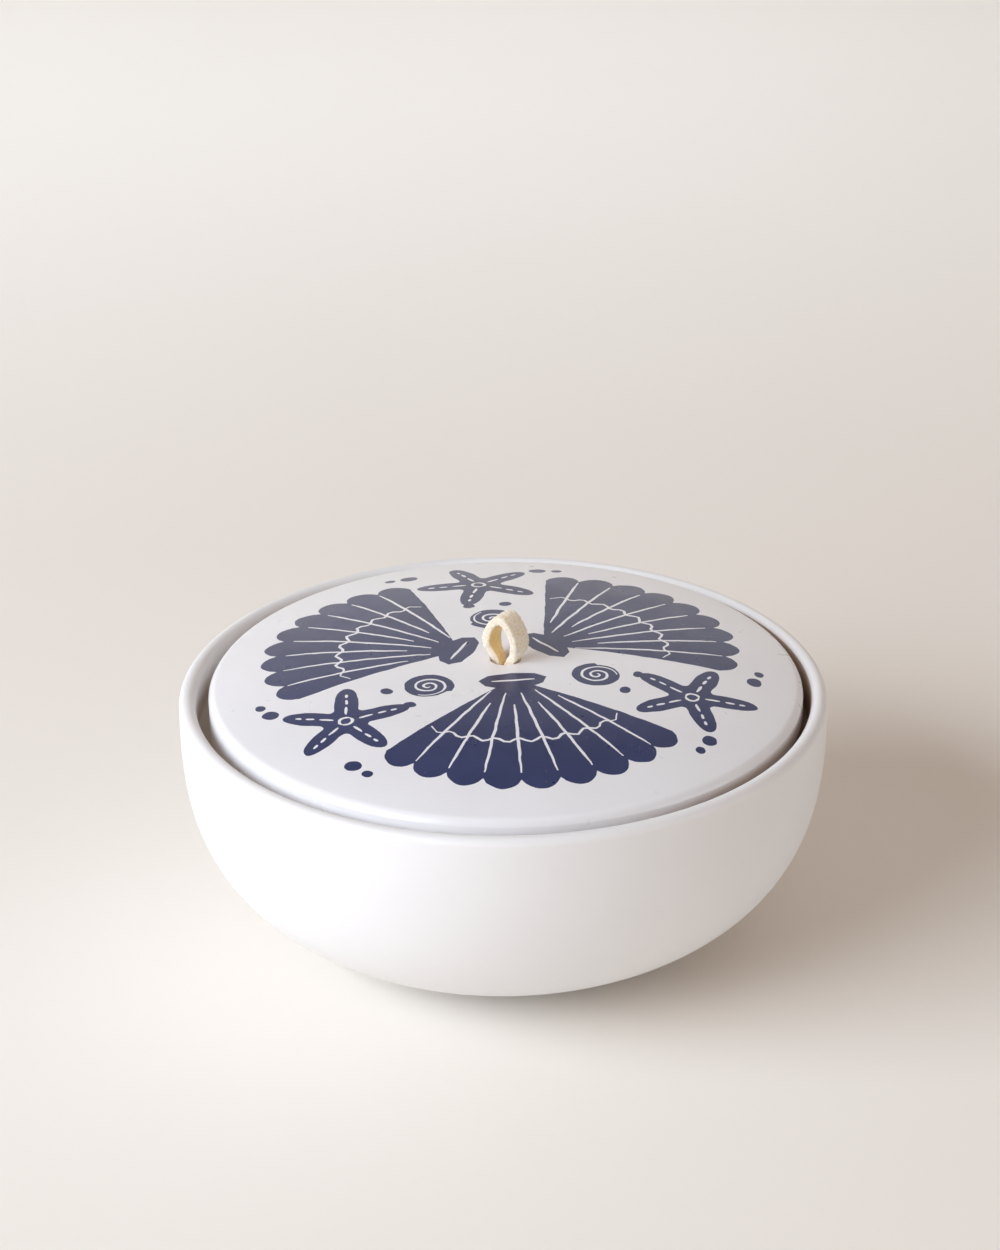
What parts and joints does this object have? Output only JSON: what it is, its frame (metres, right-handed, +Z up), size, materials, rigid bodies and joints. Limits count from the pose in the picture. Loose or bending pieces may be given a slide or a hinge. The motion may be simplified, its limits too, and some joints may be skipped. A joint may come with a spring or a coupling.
{
  "type": "trinket box",
  "caption": "Round glazed ceramic trinket bowl with a foot ring and an inner ledge, a domed drop-in lid with a printed top, and a knotted leather lace loop as the lid's pull.",
  "frame": {"origin": "on the bowl's axis, in the plane that the foot ring stands on", "axes": "+Z up along the bowl's axis, +X across the width of the pull loop, +Y along the width of its lace"},
  "size_m": [0.12, 0.12, 0.064],
  "materials": {
    "bowl_glaze": "matt white glaze",
    "lid_glaze": "satin white glaze with a navy print",
    "lace_leather": "undyed suede-finished leather"
  },
  "bodies": {
    "base": {"bowl": "bowl_glaze"},
    "cover": {"lid": "lid_glaze"},
    "pull": {"pull_loop": "lace_leather"}
  },
  "joints": [
    {"name": "lid_lift", "type": "slide", "parent": "base", "child": "cover", "axis": [0, 0, 1], "range_m": [0, 0.06]},
    {"name": "pull_turn", "type": "hinge", "parent": "cover", "child": "pull", "pos_m": [0.00042, 0.00027, 0.05485], "axis": [0, 0, 1], "continuous": true}
  ]
}
